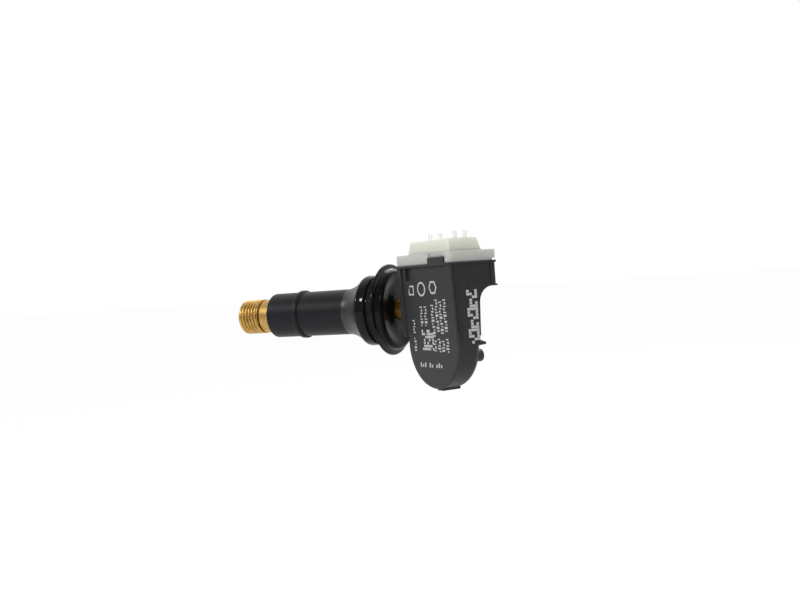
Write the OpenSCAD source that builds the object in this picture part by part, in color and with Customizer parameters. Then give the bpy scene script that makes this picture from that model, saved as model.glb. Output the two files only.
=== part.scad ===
// Snap-in tyre pressure sensor: a rubber-covered brass tyre valve with a sealed transmitter housing
// screwed to its inner end. Millimetres, +Z up. The valve axis is the X axis, with the tip at -X.
// The origin is on that axis, at the outer edge of the groove that grips the rim.

/* [Brass stem] */
// Major radius of the valve thread
thread_r = 3.87; // [3.75:0.01:3.95]
// Length of the threaded stretch at the tip
thread_l = 5.9; // [4.5:0.1:8]
// Radius of the plain collar between the thread and the rubber
collar_r = 3.78; // [3.5:0.01:3.85]
// Length of the plain collar that shows
collar_l = 2.7; // [1:0.1:4]
// Radius of the relief where the thread runs out
relief_r = 3.45; // [3.2:0.05:3.6]
// Width of the relief where the thread runs out
relief_w = 0.5; // [0.3:0.1:0.8]
// Chamfer on the tip
tip_chamfer = 0.7; // [0.3:0.05:1]
// Radius of the slim tube inside the rubber
tube_r = 3.0; // [2.8:0.05:3.3]
// Radius of the anchor flange inside the rubber
anchor_r = 4.4; // [3.6:0.1:5]
// Thickness of the anchor flange
anchor_t = 1.8; // [1:0.1:2.2]
// Radius of the bare boss that carries the housing
boss_r = 2.15; // [2.05:0.05:2.25]
// Radius of the bore that takes the valve core's thread
core_bore_r = 2.65; // [2.6:0.01:2.7]
// Radius of the bore below the core's cone seat
chamber_r = 2.4; // [2.3:0.01:2.45]
// Radius of the air passage
passage_r = 1.2; // [0.8:0.05:1.4]
// Radius of the cross hole that lets the air out behind the rubber
port_r = 0.5; // [0.3:0.05:0.6]

/* [Rubber body] */
// Length of the rubber from its outer end to the rim groove
rubber_l = 26.1; // [24:0.1:30]
// Radius of the barrel
barrel_r = 4.95; // [4.7:0.05:5.1]
// Radius of the raised ring on the barrel
ring_r = 5.35; // [5.2:0.05:5.6]
// Distance of the raised ring from the rim groove
ring_x = 18.6; // [16:0.1:21]
// Width of the raised ring
ring_w = 0.8; // [0.5:0.1:1.2]
// Distance from the rim groove to where the flare starts
flare_l = 6.7; // [6:0.1:9]
// Hollow of the flare below a straight cone
flare_sag = 0.4; // [0.1:0.05:0.6]
// Radius of the bulge that snaps through the rim
bulge_r = 7.6; // [7.2:0.05:8]
// Rounding of the bulge
bulge_round = 0.9; // [0.6:0.1:1.3]
// Radius of the bulge's sharp edge at the rim groove
bulge_edge_r = 7.45; // [7:0.05:7.6]
// Radius of the rim groove
groove_r = 6.85; // [6.4:0.05:7]
// Radius of the flange that seals inside the rim
flange_r = 9.8; // [9.2:0.1:10.4]
// Distance from the rim groove to the back of the flange's lip
flange_x = 3.6; // [3.4:0.05:4]
// Thickness of the flange's lip
lip_t = 0.5; // [0.4:0.05:0.8]
// Distance from the rim groove to the rubber's inner face
inner_face_x = 4.95; // [4.6:0.05:5.3]

/* [Valve core] */
// Depth of the core's plug below the tip
plug_depth = 1.0; // [0.6:0.1:1.4]
// Length of the core's plug
plug_l = 5.0; // [4.4:0.1:5.6]
// Length of the core's barrel
core_barrel_l = 5.2; // [4.8:0.1:6]
// Length of the tapered seal on the barrel
core_seal_l = 1.8; // [1.4:0.1:2.2]
// Radius of the core's pin
pin_r = 0.45; // [0.35:0.05:0.5]
// Depth of the pin's end below the tip
pin_depth = 0.35; // [0.3:0.05:0.6]
// Travel of the pin when it is pressed
pin_travel = 1.2; // [0.6:0.1:1.4]
// Thickness of the core's gasket
core_gasket_t = 0.7; // [0.5:0.1:0.9]
// Radius of the spring's wire
spring_wire_r = 0.15; // [0.1:0.01:0.18]
// Turns of the spring
spring_turns = 5; // [4:1:6]

/* [Housing] */
// Angle between the valve axis and the label panel
cant = 31.5; // [25:0.5:38]
// Distance of the housing's seat from the rim groove
seat_x = 8.4; // [8.2:0.1:9.4]
// Width of the housing along the label panel
body_w = 19.1; // [18.9:0.1:22]
// Depth of the upper box that carries the board
box_d = 10.9; // [10.2:0.1:14]
// Height of the upper box
box_h = 5.0; // [4.8:0.1:6]
// Depth of the battery pocket at its top
pocket_d = 6.6; // [6.5:0.05:7.4]
// Height of the lid seat above the valve axis
lid_z = 8.95; // [8.9:0.05:11]
// Length of the side rails below the lid seat
rail_l = 14.4; // [13.4:0.1:15]
// Width of the side rails
rail_w = 1.3; // [1:0.1:1.8]
// Step from the rails down to the label panel
rail_step = 0.35; // [0.2:0.05:0.45]
// Draft of the label panel, in mm over the rails' length
panel_draft = 0.49; // [0.2:0.01:0.6]
// Draft of the back, in mm over the rails' length
back_draft = 0.3; // [0.1:0.01:0.35]
// Radius of the round bottom
bottom_r = 8.9; // [8.85:0.05:9.6]
// Distance from the rails' ends down to the centre of the round bottom
pocket_drop = 1.45; // [0.4:0.05:1.6]
// Rounding between the label panel and the sides
edge_round = 1.4; // [0.8:0.1:1.5]
// Radius of the fillet below the upper box
box_fillet = 3.1; // [1.5:0.1:3.2]
// Thickness of the rim lip
lip_h = 0.45; // [0.3:0.05:0.6]
// Overhang of the rim lip
lip_out = 0.25; // [0.1:0.05:0.35]
// Wall of the upper box
box_wall = 1.1; // [0.9:0.05:1.2]
// Thickness of the ear that the screw clamps
ear_t = 3.0; // [2.6:0.1:3.2]
// Radius of the ear round the valve axis
ear_r = 4.4; // [4:0.1:4.8]
// Width of the tab that keys the lid
tab_w = 5.5; // [4:0.1:6.4]
// Height of the tab above the lid seat
tab_h = 1.2; // [0.8:0.1:1.5]

/* [Screw] */
// Radius of the screw's shank
screw_r = 1.45; // [1.35:0.01:1.5]
// Length of the screw under its head
screw_l = 4.8; // [4.2:0.1:5]
// Radius of the screw's head
screw_head_r = 2.5; // [2.2:0.05:2.6]
// Height of the screw's head
screw_head_h = 1.9; // [1.5:0.1:2.2]

/* [Lid] */
// Thickness of the lid's flange
lid_t = 2.15; // [2:0.05:2.6]
// Height of the raised middle above the flange
dome_h = 2.5; // [2.2:0.1:3.2]
// Lean of the raised middle's sides
dome_lean = 0.7; // [0.3:0.1:1]
// Wall of the raised middle
dome_wall = 0.9; // [0.7:0.05:1]
// Height of the posts on the lid
post_h = 1.4; // [0.8:0.1:2]
// Radius of the posts on the lid
post_r = 0.4; // [0.25:0.05:0.5]
// Distance between the posts along the lid
post_span = 8.4; // [6:0.1:8.8]
// Distance between the posts across the lid
post_gap = 2.3; // [1.5:0.1:3.5]
// Radius of the air port in the lid
air_port_r = 0.6; // [0.4:0.05:0.8]

/* [Electronics] */
// Radius of the coin cell
cell_r = 8.0; // [7.8:0.05:8.05]
// Thickness of the coin cell
cell_t = 3.2; // [3:0.05:3.25]
// Thickness of the circuit board
board_t = 0.8; // [0.6:0.05:0.9]
// Thickness of the battery tabs
tab_t = 0.15; // [0.1:0.01:0.15]
// Length of the pickup coil
coil_l = 6.5; // [5.6:0.1:7]
// Height of the pickup coil
coil_h = 2.4; // [2:0.1:2.8]
// Side of the sensor chip
chip_w = 4.0; // [3.4:0.1:4.2]

/* [Hidden] */
round_fn = 96;
small_fn = 48;
eps = 0.01;
// Clearances: thread fits, the pin's gap at its gasket, board and cell gaps, lid key
thread_fit = 0.03;
seal_gap = 0.02;
board_gap = 0.1;
cell_gap = 0.1;
key_gap = 0.1;

// Stations along the valve axis
tip_x = -(rubber_l + collar_l + thread_l);
thread_end_x = tip_x + thread_l;
collar_embed = 1.0;
collar_end_x = -rubber_l + collar_embed;
anchor_x = 0.6;
seat_recess = 0.7;
boss_end_x = seat_x + seat_recess;
ear_back_x = seat_x + ear_t;
recess_r = boss_r + 0.15;
screw_hole_r = screw_r + 0.15;
screw_tap_r = screw_r + 0.05;
screw_end_x = ear_back_x - screw_l;
tap_end_x = screw_end_x - 0.15;
port_x = inner_face_x + port_r + 0.2;
plug_x = tip_x + plug_depth;
barrel_x = plug_x + plug_l;
barrel_end_x = barrel_x + core_barrel_l;
seal_x = barrel_x + 0.6;
spring_seat_x = barrel_end_x - 0.6;
collar_top_x = barrel_x + 1.2;
collar_t = 0.3;
gasket_x = barrel_end_x + seal_gap;
cup_x = gasket_x + core_gasket_t;
cup_l = 1.1;
pin_hole_r = pin_r + 0.3;
head_r = 1.9;
head_l = 1.7;
flat_half = 1.2;
sleeve_r = 2.1;
seal_in_r = 1.85;
spring_bore_r = 1.5;
seat_hole_r = 0.9;
collar_pin_r = 1.2;
core_gasket_r = 1.45;
cup_r = 1.65;
socket_r = 0.95;
socket_lobe_r = 0.32;
socket_x = ear_back_x + 0.7;
chamber_end_x = cup_x + cup_l + pin_travel + 1.0;

// The housing's own frame: x along the label panel, y into the body, z = 0 at the lid seat
ear_offset = 7.71;
corner_x = seat_x + 0.5;
bottom_z = -rail_l - pocket_drop;
panel_y = panel_draft + rail_step;
pocket_back = pocket_d - back_draft;
draft_angle = atan(panel_draft / rail_l);
back_round = 0.5;
rail_root = 0.15;
rib_x = rail_w + 1.3;
rib_t = 0.45;
rib_l = 3;
field_y = 3.1;
bottom_x = body_w - bottom_r;
cell_y = panel_y + 1.06 + tab_t;
slot_y0 = cell_y - tab_t - 0.05;
slot_y1 = cell_y + cell_t + tab_t + 0.05;
foot_x = bottom_x + 0.8;
foot_y = 3.5;
foot_w = 1.0;
foot_d = 2.1;
foot_h = 0.3;
catch_z = -rail_l - 1.4;
catch_t = 0.6;
catch_w = 0.7;
catch_out = 1.65;
catch_ramp = 1.1;
stud_z = -rail_l - 4;
stud_r = 1.25;
ledge_z = -2.4;
board_top = ledge_z + board_t;
floor_z = -box_h + 1.1;
ledge_w = 0.8;
tab_x0 = 11.8;
dome_x0 = 2.6;
dome_y0 = 0.6;
dome_x1 = body_w - 0.8;
dome_y1 = box_d - 2.6;
chip_h = 1.4;
chip_lid_h = 0.2;
coil_w = 2.4;
coil_end = 1.1;
antenna_w = 0.6;
antenna_h = 2.8;
antenna_l = 4.0;
crystal_l = 3.2;
crystal_w = 2.0;
crystal_h = 0.8;
capacitor = [1.0, 0.6, 0.55];
strip_w = 2;
tab_neg_x = bottom_x - 5;
tab_pos_x = bottom_x - 1;
tab_end_z = bottom_z + 4;
lid_under = lid_t + dome_h - dome_wall;
post_x = dome_x1 - 1.4 - post_span;
post_y = dome_y0 + 2.6;
skirt_t = 0.7;
part_gap = 0.2;
clear = box_wall + key_gap + skirt_t + part_gap;
coil_x = clear;
coil_y = box_d - clear - coil_w;
chip_x = body_w - clear - chip_w;
chip_y = cell_y + 0.25 + chip_w / 2;

function arc(cx, cy, r, a0, a1, n) =
    [for (i = [0:n]) [cx + r * cos(a0 + (a1 - a0) * i / n), cy + r * sin(a0 + (a1 - a0) * i / n)]];

// A closed outline of a rectangle whose four corners have their own radii
function corners(x0, y0, x1, y1, r) = concat(
    arc(x0 + r[0], y0 + r[0], r[0], 180, 270, 6),
    arc(x1 - r[1], y0 + r[1], r[1], 270, 360, 6),
    arc(x1 - r[2], y1 - r[2], r[2], 0, 90, 6),
    arc(x0 + r[3], y1 - r[3], r[3], 90, 180, 6));

// A turned piece on the valve axis, from a profile of [radius, x] points
module turned(profile, fn = round_fn) {
    rotate([0, 90, 0]) rotate_extrude($fn = fn) polygon(profile);
}

// A plain cylinder on the valve axis
module rod(x0, x1, r, fn = round_fn) {
    translate([x0, 0, 0]) rotate([0, 90, 0]) cylinder(r = r, h = x1 - x0, $fn = fn);
}

// Places children that are drawn in the housing's own frame
module in_housing() {
    translate([corner_x, -ear_offset, lid_z]) rotate([0, 0, -cant]) children();
}

// A box given by its two corners
module block(a, b) {
    translate(a) cube(b - a);
}

function insert_profile() = [
    [0, tip_x], [thread_r - tip_chamfer, tip_x], [thread_r, tip_x + tip_chamfer],
    [thread_r, thread_end_x - relief_w], [relief_r, thread_end_x - relief_w + 0.1],
    [relief_r, thread_end_x - 0.1], [collar_r, thread_end_x], [collar_r, collar_end_x],
    [tube_r, collar_end_x + 0.6], [tube_r, anchor_x - 0.8], [anchor_r, anchor_x],
    [anchor_r, anchor_x + anchor_t], [boss_r, anchor_x + anchor_t + 0.3],
    [boss_r, boss_end_x - 0.2], [boss_r - 0.2, boss_end_x], [0, boss_end_x]];

module stem_brass() {
    color("goldenrod") difference() {
        turned(insert_profile());
        turned([[0, tip_x - 1], [core_bore_r + 0.1, tip_x - 1], [core_bore_r + 0.1, tip_x + 0.3],
                [core_bore_r, tip_x + 0.4], [core_bore_r, seal_x], [chamber_r, seal_x + core_seal_l],
                [chamber_r, chamber_end_x], [passage_r, chamber_end_x + 0.7], [passage_r, port_x + 0.2],
                [0, port_x + 0.2]]);
        translate([port_x, 0, -boss_r - 1]) cylinder(r = port_r, h = 2 * boss_r + 2, $fn = small_fn);
        rod(tap_end_x, boss_end_x + 1, screw_tap_r);
    }
}

// The rubber's outer profile: barrel, raised ring, hollow flare, bulge, rim groove, flange and rolled
// inner face
groove_edge_x = 0.2;
groove_end_x = 0.5;
flange_sag = 0.12;
bulge_x = groove_edge_x - 1.6;
flare_end_x = bulge_x - bulge_round * 0.9;
flare_end_r = bulge_r - bulge_round * 0.55;
roll_r = 0.95;
dish = 0.35;
function flare(t) = [barrel_r + (flare_end_r - barrel_r) * t - flare_sag * 4 * t * (1 - t),
                     -flare_l + (flare_end_x + flare_l) * t];
function flange_front(t) = [groove_r + (flange_r - 0.05 - groove_r) * t - flange_sag * 4 * t * (1 - t),
                            groove_end_x + (flange_x - lip_t - groove_end_x) * t];
function rubber_profile() = concat(
    [[0, -rubber_l], [barrel_r - 0.35, -rubber_l]],
    arc(barrel_r - 0.35, -rubber_l + 0.35, 0.35, -60, 0, 3),
    [[barrel_r, -ring_x - ring_w / 2 - 0.15], [ring_r, -ring_x - ring_w / 2 + 0.1],
     [ring_r, -ring_x + ring_w / 2 - 0.1], [barrel_r, -ring_x + ring_w / 2 + 0.15]],
    [for (i = [0:7]) flare(i / 8)],
    arc(bulge_r - bulge_round, bulge_x, bulge_round, -50, 0, 5),
    [[bulge_edge_r, groove_edge_x], [groove_r, groove_edge_x + 0.15]],
    [for (i = [0:6]) flange_front(i / 6)],
    [[flange_r, flange_x - lip_t + 0.15]],
    arc(flange_r - 0.3, flange_x - 0.3, 0.3, 0, 80, 4),
    arc(flange_r - 2.1, inner_face_x - roll_r + 0.2, roll_r, 20, 110, 7),
    [[flange_r - 3.6, inner_face_x - dish], [boss_r + 2.4, inner_face_x - dish],
     [boss_r + 1.2, inner_face_x], [0, inner_face_x]]);

module stem_rubber() {
    color([0.1, 0.1, 0.11]) difference() {
        turned(rubber_profile());
        turned(insert_profile());
    }
}

module core_plug() {
    color("goldenrod") difference() {
        turned([[0, plug_x], [head_r - 0.2, plug_x], [head_r, plug_x + 0.2], [head_r, plug_x + head_l - 0.1],
                [core_bore_r - thread_fit, plug_x + head_l + 0.2], [core_bore_r - thread_fit, barrel_x - 0.3],
                [core_bore_r - 0.4, barrel_x], [0, barrel_x]]);
        rod(plug_x - 1, barrel_x + 1, pin_hole_r, small_fn);
        for (side = [-1, 1])
            translate([0, side * (flat_half + 1), 0]) block([plug_x - 1, -1, -3], [plug_x + head_l, 1, 3]);
    }
}

module core_barrel() {
    color("goldenrod") difference() {
        turned([[0, barrel_x], [sleeve_r, barrel_x], [sleeve_r, seal_x], [seal_in_r, seal_x],
                [seal_in_r, seal_x + core_seal_l], [sleeve_r, seal_x + core_seal_l],
                [sleeve_r, barrel_end_x - 0.4], [sleeve_r - 0.4, barrel_end_x], [0, barrel_end_x]]);
        rod(barrel_x - 1, collar_top_x - 0.2, pin_hole_r, small_fn);
        rod(collar_top_x - 0.25, spring_seat_x, spring_bore_r, small_fn);
        rod(spring_seat_x - eps, barrel_end_x + 1, seat_hole_r, small_fn);
    }
}

module core_seal() {
    color("white") difference() {
        turned([[0, seal_x], [core_bore_r - seal_gap, seal_x],
                [chamber_r - seal_gap, seal_x + core_seal_l], [0, seal_x + core_seal_l]]);
        rod(seal_x - 1, seal_x + core_seal_l + 1, seal_in_r);
    }
}

module core_pin() {
    color("goldenrod") turned([
        [0, tip_x + pin_depth], [pin_r - 0.1, tip_x + pin_depth], [pin_r, tip_x + pin_depth + 0.1],
        [pin_r, collar_top_x], [collar_pin_r, collar_top_x], [collar_pin_r, collar_top_x + collar_t],
        [pin_r, collar_top_x + collar_t], [pin_r, cup_x + cup_l - 0.1], [0, cup_x + cup_l - 0.1]],
        small_fn);
}

module core_gasket() {
    color("black") difference() {
        rod(gasket_x, cup_x, core_gasket_r, small_fn);
        rod(gasket_x - 1, cup_x + 1, pin_r + seal_gap, small_fn);
    }
}

module core_cup() {
    color("goldenrod") difference() {
        turned([[0, gasket_x + 0.15], [cup_r, gasket_x + 0.15], [cup_r, cup_x + cup_l - 0.3],
                [cup_r - 0.3, cup_x + cup_l], [0, cup_x + cup_l]], small_fn);
        rod(gasket_x - 1, cup_x, core_gasket_r + seal_gap, small_fn);
        rod(cup_x - 1, cup_x + cup_l + 1, pin_r + seal_gap, small_fn);
    }
}

// The core's spring is one helix swept as a tube, with flat end turns that sit on both seats
spring_r = 1.12;
spring_steps = 20;
spring_sides = 6;
spring_a = collar_top_x + collar_t + spring_wire_r + seal_gap;
spring_b = spring_seat_x - spring_wire_r - seal_gap;
function spring_s(i) = let (n = spring_turns * spring_steps, t = i / n)
    min(1, max(0, (t * spring_turns - 0.75) / (spring_turns - 1.5)));
module core_spring() {
    n = spring_turns * spring_steps;
    points = [for (i = [0:n]) for (k = [0:spring_sides - 1])
        let (a = 360 * i / spring_steps, b = 360 * k / spring_sides,
             r = spring_r + spring_wire_r * cos(b))
        [spring_a + (spring_b - spring_a) * spring_s(i) + spring_wire_r * sin(b) * (1 - 0.02),
         r * cos(a), r * sin(a)]];
    sides = [for (i = [0:n - 1]) for (k = [0:spring_sides - 1])
        let (k2 = (k + 1) % spring_sides)
        [i * spring_sides + k, i * spring_sides + k2,
         (i + 1) * spring_sides + k2, (i + 1) * spring_sides + k]];
    ends = [[for (k = [spring_sides - 1:-1:0]) k], [for (k = [0:spring_sides - 1]) n * spring_sides + k]];
    color("silver") polyhedron(points = points, faces = concat(sides, ends));
}

module screw() {
    color("silver") difference() {
        turned([[0, screw_end_x], [screw_r - 0.3, screw_end_x], [screw_r, screw_end_x + 0.3],
                [screw_r, ear_back_x], [screw_head_r, ear_back_x], [screw_head_r, ear_back_x + 0.9],
                [screw_head_r - 0.25, ear_back_x + 1.35], [screw_head_r - 0.8, ear_back_x + screw_head_h - 0.2],
                [screw_head_r - 1.3, ear_back_x + screw_head_h], [0, ear_back_x + screw_head_h]]);
        rod(socket_x, ear_back_x + 3, socket_r, small_fn);
        for (i = [0:5])
            rotate([60 * i, 0, 0]) translate([0, socket_r, 0])
                rod(socket_x, ear_back_x + 3, socket_lobe_r, small_fn);
    }
}

// Side profile of the housing above the round bottom, as [y, z] points
function side_profile() = concat(
    [[0, 0], [box_d, 0], [box_d - 0.1, -box_h]],
    arc(pocket_d + box_fillet, -box_h - box_fillet, box_fillet, 90, 180, 8),
    [[pocket_back, -rail_l], [panel_draft, -rail_l]]);

// Extrudes a [y, z] profile along the housing's x
module along_panel(profile, x0, x1) {
    translate([x0, 0, 0]) rotate([90, 0, 90]) linear_extrude(height = x1 - x0) polygon(profile);
}

module housing_outer() {
    // Upper box and pocket, with rounded corners beside the label panel
    intersection() {
        along_panel(side_profile(), 0, body_w);
        rotate([draft_angle, 0, 0]) translate([0, 0, -rail_l - 2]) linear_extrude(height = rail_l + 4)
            polygon(corners(0, rail_step, body_w, box_d + 3, [edge_round, edge_round, 0.5, 0.5]));
        translate([0, 0, -rail_l - 1]) linear_extrude(height = rail_l + 2)
            polygon(corners(0, -1, body_w, box_d, [0.3, 0.3, back_round, back_round]));
    }
    // Rails, which stand out past the rounded corners as fins
    for (x = [0, body_w - rail_w])
        along_panel([[0, 0], [rail_step + rail_root, 0], [panel_y + rail_root, -rail_l], [panel_draft, -rail_l]],
                    x, x + rail_w);
    // Short rib beside the left rail
    block([rib_x, 0.1, -rib_l], [rib_x + rib_t, 1, -0.1]);
    // Round bottom with soft outer edges
    translate([bottom_x, pocket_back, bottom_z]) rotate([90, 0, 0]) rotate_extrude($fn = round_fn)
        polygon(concat([[0, 0]],
            arc(bottom_r - edge_round, edge_round, edge_round, -90, 0, 6),
            arc(bottom_r - back_round, pocket_back - panel_y - back_round, back_round, 0, 90, 6),
            [[0, pocket_back - panel_y]]));
    translate([bottom_x, 0, bottom_z]) linear_extrude(height = pocket_drop + 0.5)
        polygon(concat(
            arc(-bottom_r + edge_round, panel_y + edge_round, edge_round, 180, 270, 6),
            arc(bottom_r - edge_round, panel_y + edge_round, edge_round, 270, 360, 6),
            arc(bottom_r - back_round, pocket_back - back_round, back_round, 0, 90, 6),
            arc(-bottom_r + back_round, pocket_back - back_round, back_round, 90, 180, 6)));
    // Rim lip under the lid
    translate([0, 0, -lip_h]) linear_extrude(height = lip_h)
        polygon(corners(-lip_out, -lip_out, body_w + lip_out, box_d + lip_out, [0.4, 0.8, 0.6, 0.6]));
    // Lip along the lower edge of the upper box
    block([0.6, box_d - 0.6, -box_h], [body_w + 0.1, box_d + 0.15, -box_h + 0.35]);
    // Tab that keys the lid
    block([tab_x0, -lip_out, -lip_h], [tab_x0 + tab_w, 0.9, tab_h]);
    // Foot where the mould was fed
    block([foot_x - foot_w, foot_y - foot_d, bottom_z - bottom_r - foot_h],
          [foot_x + foot_w, foot_y + foot_d, bottom_z - bottom_r + 1]);
    // Catch and stud on the back
    catch();
    translate([body_w - 2.6, pocket_back - 1, stud_z]) rotate([-90, 0, 0])
        cylinder(r = stud_r, h = 2.4, $fn = small_fn);
}

// A wedge whose ramp falls from the body to its tip and towards the side that shows
module catch() {
    y0 = pocket_back - 1;
    y1 = pocket_back + catch_out;
    far = body_w - 0.6 - catch_w;
    near = body_w - 0.6;
    low = catch_z - catch_t;
    polyhedron(
        points = [[near, y0, low], [near, y1 - 0.25, low + 0.15], [near, y1, low + 0.5], [near, y1 - 0.1, catch_z],
                  [near, y0, catch_z], [far, y0, low], [far, y1 - 0.25, low + 0.15], [far, y1, low + 0.5],
                  [far, y1 - 0.1, catch_z], [far, y0, catch_z + catch_ramp]],
        faces = [[0, 1, 2, 3, 4], [9, 8, 7, 6, 5], [0, 5, 6, 1], [1, 6, 7, 2], [2, 7, 8, 3], [3, 8, 9], [3, 9, 4],
                 [4, 9, 5, 0]]);
}

module housing_cuts() {
    // Recess in the label panel beside the short rib
    block([rib_x + rib_t, 0, -rib_l - 0.1], [rib_x + rib_t + 2.35, rail_step + 0.35, -lip_h]);
    // Shallow field on the side of the upper box, and a notch below it
    block([body_w - 0.2, field_y, -box_h + 0.55], [body_w + 1, box_d - 1.3, -lip_h - 0.2]);
    block([body_w - 0.35, field_y + 0.75, -box_h - 1.2], [body_w + 1, field_y + 1.05, -box_h]);
    // Board compartment, ledge and battery pocket
    block([box_wall, box_wall, ledge_z], [body_w - box_wall, box_d - box_wall, 1]);
    block([box_wall + ledge_w, slot_y0, floor_z],
          [body_w - box_wall - ledge_w, box_d - box_wall - ledge_w, ledge_z + eps]);
    block([bottom_x - cell_r - cell_gap, slot_y0, bottom_z],
          [bottom_x + cell_r + cell_gap, slot_y1, floor_z + 1]);
    translate([bottom_x, slot_y1, bottom_z]) rotate([90, 0, 0])
        cylinder(r = cell_r + cell_gap, h = slot_y1 - slot_y0, $fn = round_fn);
}

module housing() {
    color([0.2, 0.2, 0.21]) difference() {
        union() {
            in_housing() housing_outer();
            // Ear that the valve's boss seats on, square to the valve axis
            rod(seat_x, ear_back_x, ear_r);
            block([seat_x, -6.2, -ear_r], [ear_back_x, 0, ear_r]);
        }
        in_housing() housing_cuts();
        rod(seat_x - 1, boss_end_x, recess_r);
        rod(seat_x - 1, ear_back_x + 1, screw_hole_r);
        rod(ear_back_x, ear_back_x + 12, screw_head_r + 0.3);
    }
}

module dome(grow, top) {
    z1 = top + eps;
    intersection() {
        along_panel([[dome_y0 - grow, -1], [dome_y1 + grow, -1], [dome_y1 + grow, lid_t],
                     [dome_y1 + grow - dome_lean, z1], [dome_y0 - grow + dome_lean * 0.4, z1],
                     [dome_y0 - grow, lid_t]], dome_x0 - grow, dome_x1 + grow);
        translate([0, box_d + 1, 0]) rotate([90, 0, 0]) linear_extrude(height = box_d + 2)
            polygon([[dome_x0 - grow, -1], [dome_x1 + grow, -1], [dome_x1 + grow, lid_t],
                     [dome_x1 + grow - dome_lean * 0.6, z1], [dome_x0 - grow + dome_lean, z1],
                     [dome_x0 - grow, lid_t]]);
    }
}

module lid() {
    color([0.83, 0.85, 0.78, 0.8]) in_housing() difference() {
        union() {
            linear_extrude(height = lid_t)
                polygon(corners(0, 0, body_w, box_d + lip_out, [0.4, 0.8, 0.6, 0.6]));
            intersection() {
                dome(0, lid_t + dome_h);
                block([0, 0, 0], [body_w, box_d, lid_t + dome_h]);
            }
            // Posts on the raised middle
            for (x = [post_x, post_x + post_span]) for (y = [post_y, post_y + post_gap])
                translate([x, y, lid_t + dome_h - 0.5])
                    cylinder(r = post_r, h = post_h + 0.5, $fn = small_fn);
            // Skirt that drops into the board compartment
            block([box_wall + key_gap, box_wall + key_gap, -0.6],
                  [body_w - box_wall - key_gap, box_d - box_wall - key_gap, 0.5]);
        }
        // Hollow under the raised middle
        difference() {
            union() {
                intersection() {
                    dome(-dome_wall, lid_under);
                    block([0, 0, -1], [body_w, box_d, lid_under]);
                }
                block([clear - part_gap, clear - part_gap, -1],
                      [body_w - clear + part_gap, box_d - clear + part_gap, 1.2]);
            }
            translate([chip_x + chip_w / 2, chip_y, board_top + chip_h + chip_lid_h + 0.7])
                cylinder(r = 1.5, h = 10, $fn = small_fn);
        }
        // Relief under the flange's back edge
        block([-1, box_d - 0.7, -1], [body_w + 1, box_d + 1, 0.4]);
        // Air port over the sensor
        translate([chip_x + chip_w / 2, chip_y, -2]) cylinder(r = air_port_r, h = 12, $fn = small_fn);
        // The flange's front falls in a curve to the notch, flush with the raised middle
        translate([0, dome_y0, 0]) rotate([90, 0, 0]) linear_extrude(height = 2)
            polygon(concat([[tab_x0 - key_gap, lid_t + 1], [tab_x0 - key_gap, tab_h]],
                arc(tab_x0 + tab_w - 0.8, lid_t, lid_t - tab_h, 270, 360, 6),
                [[body_w - 0.7, lid_t + 1]]));
        // Notch for the housing's tab
        block([tab_x0 - key_gap, -1, -1], [tab_x0 + tab_w + key_gap, 0.9 + key_gap, tab_h + 0.05]);
    }
}

module circuit_board() {
    color("darkgreen") in_housing() difference() {
        translate([0, 0, ledge_z]) linear_extrude(height = board_t)
            polygon(corners(box_wall + board_gap, box_wall + board_gap, body_w - box_wall - board_gap,
                            box_d - box_wall - board_gap, [0.5, 0.5, 0.5, 0.5]));
        for (s = [[tab_neg_x, cell_y - tab_t], [tab_pos_x, cell_y + cell_t]])
            block([s[0] - board_gap, s[1] - board_gap, ledge_z - 1],
                  [s[0] + strip_w + board_gap, s[1] + tab_t + board_gap, ledge_z + 2]);
    }
}

// A turned piece of the coin cell, on the cell's axis, from [radius, y] points
module cell_turned(profile) {
    in_housing() translate([bottom_x, 0, bottom_z]) rotate([-90, 0, 0]) rotate_extrude($fn = round_fn)
        polygon(profile);
}

module cell_can() {
    color("silver") cell_turned([
        [0, cell_y + cell_t], [cell_r - 0.4, cell_y + cell_t], [cell_r, cell_y + cell_t - 0.4],
        [cell_r, cell_y + 0.55], [cell_r - 0.35, cell_y + 0.3], [cell_r - 0.5, cell_y + 0.4],
        [cell_r - 0.3, cell_y + 0.7], [cell_r - 0.3, cell_y + cell_t - 0.3], [0, cell_y + cell_t - 0.3]]);
}

module cell_gasket() {
    color("gray") cell_turned([
        [cell_r - 0.3, cell_y + 0.7], [cell_r - 0.5, cell_y + 0.4], [cell_r - 0.75, cell_y + 0.35],
        [cell_r - 0.75, cell_y + cell_t - 0.3], [cell_r - 0.3, cell_y + cell_t - 0.3]]);
}

module cell_cap() {
    color("silver") cell_turned([
        [0, cell_y], [cell_r - 1.3, cell_y], [cell_r - 0.95, cell_y + 0.35],
        [cell_r - 0.75, cell_y + 0.5], [cell_r - 0.75, cell_y + cell_t - 0.3], [0, cell_y + cell_t - 0.3]]);
}

module tab_negative() {
    color("silver") in_housing()
        block([tab_neg_x, cell_y - tab_t, tab_end_z], [tab_neg_x + strip_w, cell_y, board_top + 0.3]);
}

module tab_positive() {
    color("silver") in_housing()
        block([tab_pos_x, cell_y + cell_t, tab_end_z],
              [tab_pos_x + strip_w, cell_y + cell_t + tab_t, board_top + 0.3]);
}

module sensor_chip() {
    color("black") in_housing() translate([chip_x, chip_y - chip_w / 2, board_top]) difference() {
        cube([chip_w, chip_w, chip_h]);
        translate([chip_w / 2, chip_w / 2, chip_h - 0.6]) cylinder(r = 1.3, h = 1, $fn = small_fn);
    }
}

module chip_lid() {
    color("silver") in_housing() translate([chip_x, chip_y - chip_w / 2, board_top + chip_h]) difference() {
        translate([0.3, 0.3, 0]) cube([chip_w - 0.6, chip_w - 0.6, chip_lid_h]);
        translate([chip_w / 2, chip_w / 2, -1]) cylinder(r = 0.5, h = 2, $fn = small_fn);
    }
}

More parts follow.
